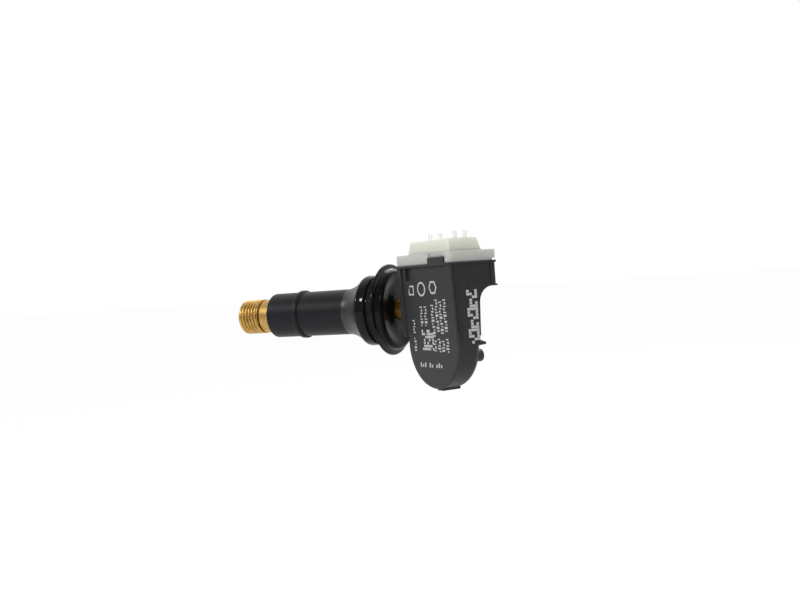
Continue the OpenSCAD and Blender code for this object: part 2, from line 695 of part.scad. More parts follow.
module port_seal() {
    color("orange") in_housing()
        translate([chip_x + chip_w / 2, chip_y, board_top + chip_h + chip_lid_h]) difference() {
            cylinder(r = 1.5, h = 0.7, $fn = small_fn);
            translate([0, 0, -1]) cylinder(r = air_port_r, h = 3, $fn = small_fn);
        }
}

module coil_core() {
    color("dimgray") in_housing() translate([coil_x, coil_y, board_top]) {
        block([0, 0, 0], [coil_end, coil_w, coil_h]);
        block([coil_l - coil_end, 0, 0], [coil_l, coil_w, coil_h]);
        block([coil_end, 0.5, 0.6], [coil_l - coil_end, coil_w - 0.5, coil_h - 0.4]);
    }
}

module coil_winding() {
    color("peru") in_housing() translate([coil_x, coil_y, board_top]) difference() {
        block([coil_end + 0.1, 0.15, 0.25], [coil_l - coil_end - 0.1, coil_w - 0.15, coil_h - 0.05]);
        block([coil_end, 0.5, 0.6], [coil_l - coil_end, coil_w - 0.5, coil_h - 0.4]);
    }
}

// The antenna is a strip bent into a bridge over the board
module rf_antenna() {
    color("silver") in_housing() translate([tab_pos_x + strip_w + 0.6, clear, board_top]) rotate([90, 0, 90])
        linear_extrude(height = antenna_w)
            polygon([[0, 0], [antenna_w, 0], [antenna_w, antenna_h - antenna_w],
                     [antenna_l - antenna_w, antenna_h - antenna_w], [antenna_l - antenna_w, 0],
                     [antenna_l, 0], [antenna_l, antenna_h], [0, antenna_h]]);
}

module crystal() {
    color("silver") in_housing() translate([clear + part_gap, clear + part_gap, board_top])
        linear_extrude(height = crystal_h) polygon(corners(0, 0, crystal_l, crystal_w, [0.4, 0.4, 0.4, 0.4]));
}

// Four capacitors stand in two rows beside the crystal, and one behind the sensor chip
module capacitors() {
    row_x = clear + 2 * part_gap + crystal_l;
    row_y = clear + 0.4;
    step_x = capacitor[0] + 0.3;
    step_y = capacitor[1] + 0.5;
    color("tan") in_housing()
        for (p = [[row_x, row_y], [row_x + step_x, row_y], [row_x, row_y + step_y],
                  [row_x + step_x, row_y + step_y], [chip_x + 0.3, chip_y + chip_w / 2 + 0.5]])
            translate([p[0], p[1], board_top]) cube(capacitor);
}

stem_brass();
stem_rubber();
core_plug();
core_barrel();
core_seal();
core_pin();
core_cup();
core_gasket();
core_spring();
screw();
housing();
lid();
circuit_board();
cell_can();
cell_cap();
cell_gasket();
tab_positive();
tab_negative();
sensor_chip();
chip_lid();
port_seal();
coil_core();
coil_winding();
rf_antenna();
crystal();
capacitors();
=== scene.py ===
from math import atan2, cos, hypot, pi, radians, sin

import bpy
from mathutils import Matrix, Vector


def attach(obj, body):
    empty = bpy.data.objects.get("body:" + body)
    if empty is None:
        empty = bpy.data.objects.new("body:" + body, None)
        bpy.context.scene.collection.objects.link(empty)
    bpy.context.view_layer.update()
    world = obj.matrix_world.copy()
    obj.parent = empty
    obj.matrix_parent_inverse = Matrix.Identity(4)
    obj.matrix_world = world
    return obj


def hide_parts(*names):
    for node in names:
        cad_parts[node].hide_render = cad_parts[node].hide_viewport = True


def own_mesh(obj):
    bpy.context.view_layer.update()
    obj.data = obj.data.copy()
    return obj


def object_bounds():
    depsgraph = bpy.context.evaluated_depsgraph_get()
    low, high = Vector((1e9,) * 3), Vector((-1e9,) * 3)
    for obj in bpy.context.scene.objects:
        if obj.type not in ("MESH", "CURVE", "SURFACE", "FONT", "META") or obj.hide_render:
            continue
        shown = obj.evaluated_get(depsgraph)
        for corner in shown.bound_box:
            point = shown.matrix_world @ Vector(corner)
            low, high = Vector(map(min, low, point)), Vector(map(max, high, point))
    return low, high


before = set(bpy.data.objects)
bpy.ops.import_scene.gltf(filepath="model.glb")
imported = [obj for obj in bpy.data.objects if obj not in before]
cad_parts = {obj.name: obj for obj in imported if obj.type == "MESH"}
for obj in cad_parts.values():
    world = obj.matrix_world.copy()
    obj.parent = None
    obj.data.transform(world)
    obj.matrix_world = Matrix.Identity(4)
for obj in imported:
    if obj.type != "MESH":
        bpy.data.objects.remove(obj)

cad_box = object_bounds()

# Camera
# It looks at the valve from its side, a little to the right of square and level with the lid, with the
# slight lean at which the part was photographed. Distances here are in metres.
TURN = radians(26.65)
RISE = radians(1.34)
LEAN = radians(4.02)
DISTANCE = 0.2137
AIM_RIGHT = 0.004615
AIM_UP = 0.002203
SENSOR_WIDTH_MM = 36
LENS_MM = 44.36
NEAREST = 0.01
FARTHEST = 10
bpy.ops.object.select_all(action="DESELECT")
forward = Vector((-sin(TURN) * cos(RISE), cos(TURN) * cos(RISE), -sin(RISE)))
level = Vector((cos(TURN), sin(TURN), 0))
plumb = forward.cross(level)
right = level * cos(LEAN) + plumb * sin(LEAN)
up = level * sin(LEAN) - plumb * cos(LEAN)
stand = right * AIM_RIGHT + up * AIM_UP - forward * DISTANCE
bpy.ops.object.camera_add()
camera = bpy.context.object
camera.data.sensor_width = SENSOR_WIDTH_MM
camera.data.lens = LENS_MM
camera.data.clip_start = NEAREST
camera.data.clip_end = FARTHEST
camera.matrix_world = Matrix.Translation(stand) @ Matrix((right, up, -forward)).transposed().to_4x4()
bpy.context.scene.camera = camera

# Floor
# A wide pale floor below the hung part. The camera and glossy faces see it nearly white, and all else
# sees it as it is, so it keeps the part's soft shadow.
FLOOR_DROP = 0.05
FLOOR_SIZE = 8
FLOOR_COLOUR = (0.86, 0.86, 0.87)
FLOOR_ROUGHNESS = 0.9
GLOW_SHARE = 0.95
WHITE = (1, 1, 1, 1)


def finish(name, colour, roughness, metal=0.0, gloss=0.5):
    """A new material, with its nodes, its shader and the object's own coordinates at hand. Its colour and
    roughness are those of a plain viewer, until a pattern is linked to them."""
    made = bpy.data.materials.new(name)
    made.use_nodes = True
    tree = made.node_tree
    shader = tree.nodes["Principled BSDF"]
    shader.inputs["Base Color"].default_value = (*colour, 1)
    shader.inputs["Roughness"].default_value = roughness
    shader.inputs["Metallic"].default_value = metal
    shader.inputs["Specular IOR Level"].default_value = gloss
    place = tree.nodes.new("ShaderNodeTexCoord").outputs["Object"]
    return made, tree, shader, place


def feed(tree, socket, value):
    """Sets a socket to a plain number, or links it to another node's output."""
    if isinstance(value, (int, float)):
        socket.default_value = value
    else:
        tree.links.new(value, socket)


def combine(tree, operation, *values):
    """Values joined by a math node, each a plain number or another node's output."""
    node = tree.nodes.new("ShaderNodeMath")
    node.operation = operation
    for socket, value in zip(node.inputs, values):
        feed(tree, socket, value)
    return node.outputs[0]


scene = bpy.context.scene
scene.view_settings.view_transform = "Standard"
bpy.ops.mesh.primitive_plane_add(size=FLOOR_SIZE, location=(0, 0, cad_box[0].z - FLOOR_DROP))
floor = bpy.context.object
floor.name = "floor"
floor_finish, tree, shader, place = finish("pale_floor", FLOOR_COLOUR, FLOOR_ROUGHNESS)
ray = tree.nodes.new("ShaderNodeLightPath")
seen = combine(tree, "MAXIMUM", ray.outputs["Is Camera Ray"], ray.outputs["Is Glossy Ray"])
glow = tree.nodes.new("ShaderNodeEmission")
glow.inputs["Color"].default_value = WHITE
blend = tree.nodes.new("ShaderNodeMixShader")
tree.links.new(combine(tree, "MULTIPLY", seen, GLOW_SHARE), blend.inputs[0])
tree.links.new(shader.outputs[0], blend.inputs[1])
tree.links.new(glow.outputs[0], blend.inputs[2])
tree.links.new(blend.outputs[0], tree.nodes["Material Output"].inputs["Surface"])
floor.data.materials.append(floor_finish)

# Surround and lamps
# A room that the camera sees white, also through clear plastic, and that lights the part evenly. Glossy
# faces mirror its darker side, where the camera stands. Round soft lamps stand before and behind the part.
ROOM_LIGHT = 0.72
DARK_SIDE = 0.25
DARK_UNTIL_Y = -0.35
WHITE_FROM_Y = 0.2


def span(tree, value, low, high, to_low, to_high):
    """Maps a value from one range to another, clamped at both ends."""
    node = tree.nodes.new("ShaderNodeMapRange")
    sockets = ("Value", "From Min", "From Max", "To Min", "To Max")
    for socket, number in zip(sockets, (value, low, high, to_low, to_high)):
        feed(tree, node.inputs[socket], number)
    return node.outputs["Result"]


def reach(tree, place, way):
    """How far a point lies along a direction, in metres."""
    node = tree.nodes.new("ShaderNodeVectorMath")
    node.operation = "DOT_PRODUCT"
    node.inputs[1].default_value = way
    tree.links.new(place, node.inputs[0])
    return node.outputs["Value"]


def lamp(name, place, aim, size, power):
    """A round soft lamp, turned towards aim. Its size is in metres and its power in watts."""
    bpy.ops.object.light_add(type="AREA", location=place)
    light = bpy.context.object
    light.name = name
    light.data.shape = "DISK"
    light.data.size = size
    light.data.energy = power
    light.rotation_euler = (Vector(aim) - Vector(place)).to_track_quat("-Z", "Y").to_euler()


world = bpy.data.worlds.new("studio")
world.use_nodes = True
scene.world = world
tree = world.node_tree
ray = tree.nodes.new("ShaderNodeLightPath")
shown = combine(tree, "MAXIMUM", ray.outputs["Is Camera Ray"], ray.outputs["Is Transmission Ray"])
sight = tree.nodes.new("ShaderNodeTexCoord").outputs["Generated"]
backdrop = span(tree, reach(tree, sight, (0, 1, 0)), DARK_UNTIL_Y, WHITE_FROM_Y, DARK_SIDE, 1)
mirrored = span(tree, ray.outputs["Is Glossy Ray"], 0, 1, ROOM_LIGHT, backdrop)
room = tree.nodes["Background"]
room.inputs["Color"].default_value = WHITE
tree.links.new(span(tree, shown, 0, 1, mirrored, 1), room.inputs["Strength"])

lamp("key_lamp", (-0.16, -0.44, 0.34), (0, 0, 0), 0.07, 1.1)
lamp("side_lamp", (-0.44, -0.21, 0.26), (0, 0, 0), 0.05, 0.5)
lamp("fill_lamp", (0.36, -0.4, 0.33), (0.02, 0, 0), 0.05, 0.85)
lamp("back_lamp", (0.0, 0.5, 0.4), (0, 0, 0), 0.5, 1.6)

# Valve stem
# One turned brass piece, from the threaded tip that takes the cap to the boss that carries the housing.
# The tip is bored and threaded inside for the valve core, and most of the stem is bonded into rubber.
# Sizes are in mm. In a profile, the small numbers are its chamfers and roundings.
MM = 0.001
TIP_X = -34.7
THREAD_END_X = -28.8
THREAD_R = 3.87
THREAD_PITCH = 0.794
THREAD_DEPTH = 0.34
THREAD_FLANK = 2.6
THREAD_ROOT = 0.75
RUN_OUT = 0.8
RELIEF_R = 3.42
COLLAR_R = 3.78
COLLAR_END_X = -25.1
TUBE_R = 3.0
TUBE_END_X = -0.2
ANCHOR_R = 4.4
ANCHOR_X = 0.6
ANCHOR_END_X = 2.4
BOSS_R = 2.15
BOSS_X = 2.7
BOSS_BARE_X = 5
BOSS_END_X = 9.1
TAP_R = 1.5
TAP_END_X = 6.45
BORE_R = 2.65
BORE_PITCH = 0.7
BORE_DEPTH = 0.22
BORE_END_X = -27.7
CHAMBER_R = 2.4
CHAMBER_X = -25.9
CHAMBER_END_X = -18.7
PASSAGE_R = 1.2
PASSAGE_END_X = -6.5
TURNING_STEPS = 128
MERGE_WITHIN = 0.002
ON_SURFACE = 0.02
BRASS = (0.64, 0.42, 0.13)
BRASS_FILM = (0.32, 0.17, 0.04)


def bow(cx, cr, radius, start, end, count):
    """Points (x, r) of an arc in a turned profile, with its angles in degrees from the axis direction."""
    turns = [radians(start + (end - start) * i / count) for i in range(count + 1)]
    return [(cx + radius * cos(t), cr + radius * sin(t)) for t in turns]


def run(x0, x1, radius, step):
    """Points of a plain turned length, close enough together to take a thread."""
    count = round(abs(x1 - x0) / step)
    return [(x0 + (x1 - x0) * i / count, radius) for i in range(count + 1)]


def turned(name, profile):
    """Draws a profile of (x, r) points as one line of edges and spins it round the valve axis."""
    bpy.ops.object.select_all(action="DESELECT")
    x, r = profile[0]
    bpy.ops.mesh.primitive_plane_add(size=MM, location=(x * MM, 0, r * MM))
    piece = bpy.context.object
    piece.name = name
    bpy.ops.object.transform_apply(location=True, rotation=False, scale=False)
    bpy.ops.object.mode_set(mode="EDIT")
    bpy.ops.mesh.select_all(action="SELECT")
    bpy.ops.mesh.merge(type="CENTER")
    for (x0, r0), (x1, r1) in zip(profile, profile[1:]):
        move = ((x1 - x0) * MM, 0, (r1 - r0) * MM)
        bpy.ops.mesh.extrude_region_move(TRANSFORM_OT_translate={"value": move})
    bpy.ops.mesh.select_all(action="SELECT")
    bpy.ops.mesh.spin(steps=TURNING_STEPS, angle=2 * pi, center=(0, 0, 0), axis=(1, 0, 0))
    bpy.ops.mesh.select_all(action="SELECT")
    bpy.ops.mesh.remove_doubles(threshold=MERGE_WITHIN * MM)
    bpy.ops.mesh.normals_make_consistent(inside=False)
    bpy.ops.object.mode_set(mode="OBJECT")
    return piece


def smooth(piece, angle):
    """Shades a piece smooth, but for its edges sharper than an angle in degrees."""
    bpy.ops.object.select_all(action="DESELECT")
    piece.select_set(True)
    bpy.context.view_layer.objects.active = piece
    bpy.ops.object.shade_smooth_by_angle(angle=radians(angle))


def cut_thread(piece, x0, x1, radius, pitch, depth):
    """Moves the vertices of a plain turned length out by depth along a helix, or in if it is negative."""
    for vertex in piece.data.vertices:
        x, y, z = vertex.co / MM
        r = hypot(y, z)
        if x0 < x < x1 and abs(r - radius) < ON_SURFACE:
            turn = (x / pitch + atan2(y, z) / (2 * pi)) % 1
            crest = min(1, max(0, THREAD_FLANK * abs(2 * turn - 1) - THREAD_ROOT))
            fade = max(0, min(1, min(x - x0, x1 - x) / (RUN_OUT * pitch)))
            new = radius + depth * (1 - crest) * fade
            vertex.co.y *= new / r
            vertex.co.z *= new / r


def stretched(tree, place, scale):
    """The coordinates scaled in each direction, so that a pattern runs along or round a piece."""
    mapping = tree.nodes.new("ShaderNodeMapping")
    mapping.inputs["Scale"].default_value = scale
    tree.links.new(place, mapping.inputs["Vector"])
    return mapping.outputs["Vector"]


def speckle(tree, place, size, detail=4.0):
    """Noise whose spots measure about size millimetres."""
    noise = tree.nodes.new("ShaderNodeTexNoise")
    noise.inputs["Scale"].default_value = 1 / (size * MM)
    noise.inputs["Detail"].default_value = detail
    tree.links.new(place, noise.inputs["Vector"])
    return noise.outputs["Fac"]


def shades(tree, value, *stops):
    """A colour ramp over a value, from (position, colour) stops."""
    ramp = tree.nodes.new("ShaderNodeValToRGB")
    points = ramp.color_ramp.elements
    while len(points) < len(stops):
        points.new(0.5)
    for point, (position, colour) in zip(points, stops):
        point.position = position
        point.color = (*colour, 1)
    tree.links.new(value, ramp.inputs["Fac"])
    return ramp.outputs["Color"]


def raise_by(tree, shader, height, depth):
    """A bump whose full height is depth millimetres."""
    bump = tree.nodes.new("ShaderNodeBump")
    bump.inputs["Strength"].default_value = 1
    bump.inputs["Distance"].default_value = depth * MM
    tree.links.new(height, bump.inputs["Height"])
    tree.links.new(bump.outputs["Normal"], shader.inputs["Normal"])


def axis_distance(tree, place):
    """The distance of a point from the valve axis, in metres."""
    node = tree.nodes.new("ShaderNodeVectorMath")
    node.operation = "LENGTH"
    tree.links.new(stretched(tree, place, (0, 1, 1)), node.inputs[0])
    return node.outputs["Value"]


def turned_brass(name, bright, film, root_r, crest_r):
    """Turned brass: fine tool lines round the axis, a dull film in patches, and darker film with painted shade
    in the thread's hollows.
    """
    made, tree, shader, place = finish(name, bright, 0.25, metal=1.0)
    lines = speckle(tree, stretched(tree, place, (1, 0.02, 0.02)), 0.06, 2)
    patches = span(tree, speckle(tree, place, 1.6), 0.4, 0.75, 0, 0.5)
    # The thread's hollows are darker: a dull film there, and painted shade.
    hollow_film_and_painted_shade = span(tree, axis_distance(tree, place), root_r * MM, crest_r * MM, 0.75, 0)
    film_and_painted_shade = combine(tree, "ADD", patches, hollow_film_and_painted_shade)
    rough = combine(tree, "ADD", span(tree, lines, 0.3, 0.7, 0.32, 0.42), span(tree, film_and_painted_shade, 0, 1, 0, 0.12))
    tree.links.new(shades(tree, film_and_painted_shade, (0, bright), (1, film)), shader.inputs["Base Color"])
    tree.links.new(rough, shader.inputs["Roughness"])
    raise_by(tree, shader, lines, 0.006)
    return made


bore_profile = (
    [(PASSAGE_END_X, 0), (PASSAGE_END_X, PASSAGE_R), (CHAMBER_END_X + 0.7, PASSAGE_R),
     (CHAMBER_END_X, CHAMBER_R), (CHAMBER_X, CHAMBER_R), (BORE_END_X, BORE_R)]
    + run(BORE_END_X - 0.05, TIP_X + 0.5, BORE_R, BORE_PITCH / 10))
tip_profile = (
    [(TIP_X + 0.12, BORE_R + 0.25), (TIP_X, BORE_R + 0.35), (TIP_X, THREAD_R - 0.62),
     (TIP_X + 0.06, THREAD_R - 0.5), (TIP_X + 0.5, THREAD_R - 0.06)]
    + run(TIP_X + 0.62, THREAD_END_X - 0.45, THREAD_R, THREAD_PITCH / 12))
collar_profile = [
    (THREAD_END_X - 0.4, RELIEF_R), (THREAD_END_X - 0.12, RELIEF_R), (THREAD_END_X - 0.05, COLLAR_R - 0.1),
    (THREAD_END_X + 0.06, COLLAR_R), (COLLAR_END_X, COLLAR_R), (COLLAR_END_X + 0.6, TUBE_R)]
boss_profile = [
    (TUBE_END_X, TUBE_R), (ANCHOR_X, ANCHOR_R), (ANCHOR_END_X, ANCHOR_R), (BOSS_X, BOSS_R),
    (BOSS_BARE_X, BOSS_R), (BOSS_END_X - 0.25, BOSS_R), (BOSS_END_X - 0.05, BOSS_R - 0.15),
    (BOSS_END_X, BOSS_R - 0.25), (BOSS_END_X, TAP_R), (TAP_END_X, TAP_R), (TAP_END_X - 0.25, 0)]
stem = turned("valve_stem", bore_profile + tip_profile + collar_profile + boss_profile)
cut_thread(stem, TIP_X + 0.55, THREAD_END_X - 0.43, THREAD_R, THREAD_PITCH, -THREAD_DEPTH)
cut_thread(stem, TIP_X + 0.45, BORE_END_X - 0.5, BORE_R, BORE_PITCH, BORE_DEPTH)
smooth(stem, 40)
stem.data.materials.append(turned_brass("stem_brass_finish", BRASS, BRASS_FILM, 3.45, 3.86))
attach(stem, "sensor")
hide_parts("stem_brass")

# Rubber body
# Moulded on the stem in one shot: a satin barrel with a raised ring, a hollow flare, the glossy bulge that
# snaps through the rim, the groove that grips it, and the flange that seals inside.
RUBBER_X = -26.1
BARREL_R = 4.95
RING_X = -18.6
RING_R = 5.35
RING_HALF = 0.62
RING_SHOULDER = (0, 0.5, 0.75, 0.9, 0.97, 1)
FLARE_X = -6.7
FLARE_SAG = 0.4
BULGE_X = -1.4
BULGE_R = 7.6
BULGE_ROUND = 0.9
BULGE_START_X = BULGE_X - BULGE_ROUND * 0.9
BULGE_START_R = BULGE_R - BULGE_ROUND * 0.55
GROOVE_X = 0.2
GROOVE_LIP_R = 7.45
GROOVE_R = 6.85
GROOVE_END_X = 0.5
FLANGE_R = 9.8
FLANGE_SAG = 0.12
LIP_X = 3.1
LIP_END_X = 3.6
INNER_X = 4.95
ROLL_R = 0.95
DISH = 0.35
# The flare's paler colours are partly a painted sheen, and the cone's paler colours are a painted reflection of
# light met at a grazing angle.
RUBBER_LOOKS = (
    # name, deep and pale colour, roughness, grain, gloss
    ("barrel_rubber_finish", (0.005, 0.005, 0.007), (0.008, 0.008, 0.0105), 0.42, 0.12, 0.2),
    ("flare_rubber_painted_sheen", (0.007, 0.007, 0.008), (0.013, 0.013, 0.0145), 0.36, 0.12, 0.5),
    ("seat_rubber_finish", (0.004, 0.004, 0.005), (0.008, 0.008, 0.009), 0.1, 2.0, 0.14),
    ("cone_rubber_painted_reflection", (0.014, 0.014, 0.016), (0.02, 0.02, 0.022), 0.16, 2.0, 0.2),
    ("seal_rubber_finish", (0.003, 0.003, 0.004), (0.006, 0.006, 0.007), 0.2, 1.0, 0.06))
BARREL, FLARE, SEAT, CONE, SEAL = range(len(RUBBER_LOOKS))
LOOK_ENDS = ((BARREL, FLARE_X + 0.02), (FLARE, BULGE_START_X + 0.02), (SEAT, GROOVE_END_X - 0.05),
             (CONE, LIP_X), (SEAT, INNER_X - 0.4), (SEAL, BOSS_END_X))


def flare_point(t):
    """A point of the hollow cone that widens from the barrel to the bulge, with t from 0 to 1."""
    sag = FLARE_SAG * 4 * t * (1 - t)
    return FLARE_X + (BULGE_START_X - FLARE_X) * t, BARREL_R + (BULGE_START_R - BARREL_R) * t - sag


def flange_point(t):
    """A point of the hollow cone that widens from the groove to the flange's lip."""
    sag = FLANGE_SAG * 4 * t * (1 - t)
    return GROOVE_END_X + (LIP_X - GROOVE_END_X) * t, GROOVE_R + (FLANGE_R - 0.05 - GROOVE_R) * t - sag


def ring_point(t):
    """A point of the raised ring, a flat bow with steep shoulders, with t from -1 to 1."""
    return RING_X + RING_HALF * t, BARREL_R + (RING_R - BARREL_R) * (1 - t ** 4) ** 0.5


def rubber_finish(name, deep, pale, roughness, grain, gloss):
    """Black rubber as its part of the mould left it: clouded, with a skin whose grain is given in mm. The paler
    colours of the flare and the cone are partly painted light.
    """
    made, tree, shader, place = finish(name, deep, roughness, gloss=gloss)
    skin = speckle(tree, place, grain, 6)
    cloud = speckle(tree, place, 2.5)
    tree.links.new(shades(tree, cloud, (0.35, deep), (0.7, pale)), shader.inputs["Base Color"])
    rough = span(tree, skin, 0.3, 0.7, roughness - 0.04, roughness + 0.05)
    tree.links.new(rough, shader.inputs["Roughness"])
    raise_by(tree, shader, skin, 0.012 if grain < 1 else 0.004)
    return made


barrel_profile = (
    [(COLLAR_END_X, COLLAR_R), (RUBBER_X + 0.02, COLLAR_R)]
    + bow(RUBBER_X + 0.4, BARREL_R - 0.4, 0.4, 180, 90, 6)
    + [(RUBBER_X + 2, BARREL_R), (RING_X - RING_HALF - 0.13, BARREL_R)]
    + [ring_point(-t) for t in reversed(RING_SHOULDER)] + [ring_point(t) for t in RING_SHOULDER[1:]]
    + [(RING_X + RING_HALF + 0.13, BARREL_R), (FLARE_X - 0.3, BARREL_R), (FLARE_X - 0.08, BARREL_R)])
bulge_profile = (
    [flare_point(i / 16) for i in range(16)]
    + bow(BULGE_X, BULGE_R - BULGE_ROUND, BULGE_ROUND, 148, 92, 10)
    + [(BULGE_X + 0.5, BULGE_R - 0.02), (BULGE_X + 1.1, BULGE_R - 0.07), (GROOVE_X - 0.08, GROOVE_LIP_R + 0.02)]
    + bow(GROOVE_X - 0.05, GROOVE_LIP_R - 0.05, 0.06, 80, 0, 3))
flange_profile = (
    [(GROOVE_X + 0.06, GROOVE_R + 0.3), (GROOVE_X + 0.12, GROOVE_R + 0.06), (GROOVE_X + 0.2, GROOVE_R - 0.01)]
    + [flange_point(i / 14) for i in range(15)]
    + [(LIP_X + 0.04, FLANGE_R - 0.01), (LIP_X + 0.1, FLANGE_R)]
    + bow(LIP_END_X - 0.3, FLANGE_R - 0.3, 0.3, 90, 8, 6)
    + [(LIP_END_X + 0.03, FLANGE_R - 0.55), (LIP_END_X + 0.12, FLANGE_R - 0.9)]
    + bow(INNER_X - 0.75, FLANGE_R - 2.1, ROLL_R, 70, -20, 12))
inner_profile = [
    (INNER_X - 0.05, FLANGE_R - 3.2), (INNER_X - 0.25, FLANGE_R - 3.7), (INNER_X - DISH, FLANGE_R - 4.2),
    (INNER_X - DISH, BOSS_R + 2.6), (INNER_X - 0.28, BOSS_R + 2.0), (INNER_X - 0.05, BOSS_R + 1.4),
    (INNER_X, BOSS_R + 1.0), (INNER_X, BOSS_R + 0.15), (INNER_X - 0.15, BOSS_R)]
bonded_profile = [
    (BOSS_X, BOSS_R), (ANCHOR_END_X, ANCHOR_R), (ANCHOR_X, ANCHOR_R), (TUBE_END_X, TUBE_R),
    (COLLAR_END_X + 0.6, TUBE_R), (COLLAR_END_X, COLLAR_R)]
rubber = turned("valve_rubber",
                barrel_profile + bulge_profile + flange_profile + inner_profile + bonded_profile)
smooth(rubber, 30)
for look in RUBBER_LOOKS:
    rubber.data.materials.append(rubber_finish(*look))
for face in rubber.data.polygons:
    face.material_index = next(part for part, end in LOOK_ENDS if face.center.x <= end * MM)
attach(rubber, "sensor")
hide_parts("stem_rubber")

# Valve core
# A brass plug with two flats for the core tool, its barrel with a tapered seal, and the pin with its cup
# and gasket. All are small turned or moulded pieces, screwed into the tip as one unit.


def moulded_finish(name, colour, darker, roughness, size, depth):
    """A plain moulded or pressed finish: slight mottling, and a fine grain that breaks its gloss."""
    made, tree, shader, place = finish(name, colour, roughness)
    mottle = speckle(tree, place, size * 6)
    grain = speckle(tree, place, size, 5)
    tree.links.new(shades(tree, mottle, (0.3, darker), (0.7, colour)), shader.inputs["Base Color"])
    rough = span(tree, grain, 0.3, 0.7, roughness - 0.06, roughness + 0.08)
    tree.links.new(rough, shader.inputs["Roughness"])
    raise_by(tree, shader, grain, depth)
    return made


def dress(node, material):
    """Gives a carried-over CAD node its own finish."""
    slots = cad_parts[node].data.materials
    slots.clear()
    slots.append(material)


core_brass = turned_brass("core_brass_finish", (0.76, 0.55, 0.22), (0.30, 0.19, 0.07), 0.1, 0.4)
for node in ("core_plug", "core_barrel", "core_pin", "core_cup"):
    dress(node, core_brass)
dress("core_seal", moulded_finish("seal_finish", (0.78, 0.77, 0.72), (0.66, 0.65, 0.6), 0.35, 0.1, 0.004))
dress("core_gasket", moulded_finish("core_rubber_finish", (0.02, 0.02, 0.02), (0.012, 0.012, 0.012),
                                    0.55, 0.06, 0.006))

# Pin spring
# Drawn steel wire, coiled between the plug and the cup. It closes the valve.
CAST_MERGE = 0.001
CAST_FLAT = 0.3


def metal_finish(name, colour, darker, roughness, size, lines):
    """Rolled, drawn or plated metal, with scratches that run along the scale given and a faint film."""
    made, tree, shader, place = finish(name, colour, roughness, metal=1.0)
    film = speckle(tree, place, size * 8)
    scratches = speckle(tree, stretched(tree, place, lines), size, 3)
    tree.links.new(shades(tree, film, (0.35, darker), (0.65, colour)), shader.inputs["Base Color"])
    rough = span(tree, scratches, 0.3, 0.7, roughness - 0.07, roughness + 0.1)
    tree.links.new(rough, shader.inputs["Roughness"])
    raise_by(tree, shader, scratches, 0.005)
    return made


def cast_from(name, node):
    """A copy of a CAD node's solid, merged into clean faces."""
    bpy.ops.object.select_all(action="DESELECT")
    piece = bpy.data.objects.new(name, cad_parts[node].data.copy())
    scene.collection.objects.link(piece)
    piece.data.materials.clear()
    piece.select_set(True)
    bpy.context.view_layer.objects.active = piece
    bpy.ops.object.mode_set(mode="EDIT")
    bpy.ops.mesh.select_all(action="SELECT")
    bpy.ops.mesh.remove_doubles(threshold=CAST_MERGE * MM)
    bpy.ops.mesh.dissolve_limited(angle_limit=radians(CAST_FLAT))
    bpy.ops.object.mode_set(mode="OBJECT")
    return piece


spring = cast_from("pin_spring", "core_spring")
smooth(spring, 60)
spring.data.materials.append(
    metal_finish("spring_finish", (0.62, 0.61, 0.6), (0.42, 0.41, 0.4), 0.3, 0.03, (1, 1, 1)))
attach(spring, "sensor")
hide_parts("core_spring")
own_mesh(spring)

# Housing
# Moulded in one shot from black glass-filled plastic: the railed front panel, the upper box that holds the
# board, the round battery pocket, and the ear that a screw clamps to the valve's boss.
SEAT_CORNER = (8.9, -7.71, 8.95)
CANT = radians(-31.5)
TO_BACK = (-sin(CANT), cos(CANT), 0)
PANEL_AT = Vector(SEAT_CORNER).dot(TO_BACK)
HOUSING_BREAK = 0.07
# Depths behind the front panel and heights, in mm, over which the painted light on the housing fades out.
PANEL_PAINTED_LIGHT_DEPTH = (0.9, 1.6)
PAINTED_LIGHT_LOW_Z = (-14, 6)
EDGE_ANGLE = 28
FOOT_EDGE = 0.3
SAME_HEIGHT = 0.01


def break_edges(piece, width, segments, foot_z=None):
    """Breaks a piece's sharp edges as the mould leaves them, but not the posts' small feet at foot_z."""
    bpy.ops.object.mode_set(mode="EDIT")
    bpy.ops.mesh.select_mode(type="EDGE")
    bpy.ops.mesh.select_all(action="DESELECT")
    bpy.ops.mesh.edges_select_sharp(sharpness=radians(EDGE_ANGLE))
    bpy.ops.object.mode_set(mode="OBJECT")
    weights = piece.data.attributes.new("bevel_weight_edge", "FLOAT", "EDGE")
    for edge in piece.data.edges:
        a, b = (piece.data.vertices[i].co / MM for i in edge.vertices)
        at_foot = foot_z is not None and max(abs(a.z - foot_z), abs(b.z - foot_z)) < SAME_HEIGHT
        small = (a - b).length < FOOT_EDGE
        weights.data[edge.index].value = float(edge.select and not (at_foot and small))
    rounding = piece.modifiers.new("rounding", "BEVEL")
    rounding.width = width * MM
    rounding.segments = segments
    rounding.limit_method = "WEIGHT"
    rounding.use_clamp_overlap = False
    bpy.ops.object.modifier_apply(modifier="rounding")
    smooth(piece, EDGE_ANGLE)
    flats = piece.modifiers.new("flats", "WEIGHTED_NORMAL")
    flats.keep_sharp = True
    bpy.ops.object.modifier_apply(modifier="flats")


shell = cast_from("sensor_housing", "housing")
break_edges(shell, HOUSING_BREAK, segments=2)
moulded, tree, shader, place = finish("housing_finish_painted_light", (0.016, 0.016, 0.018), 0.45, gloss=0.26)
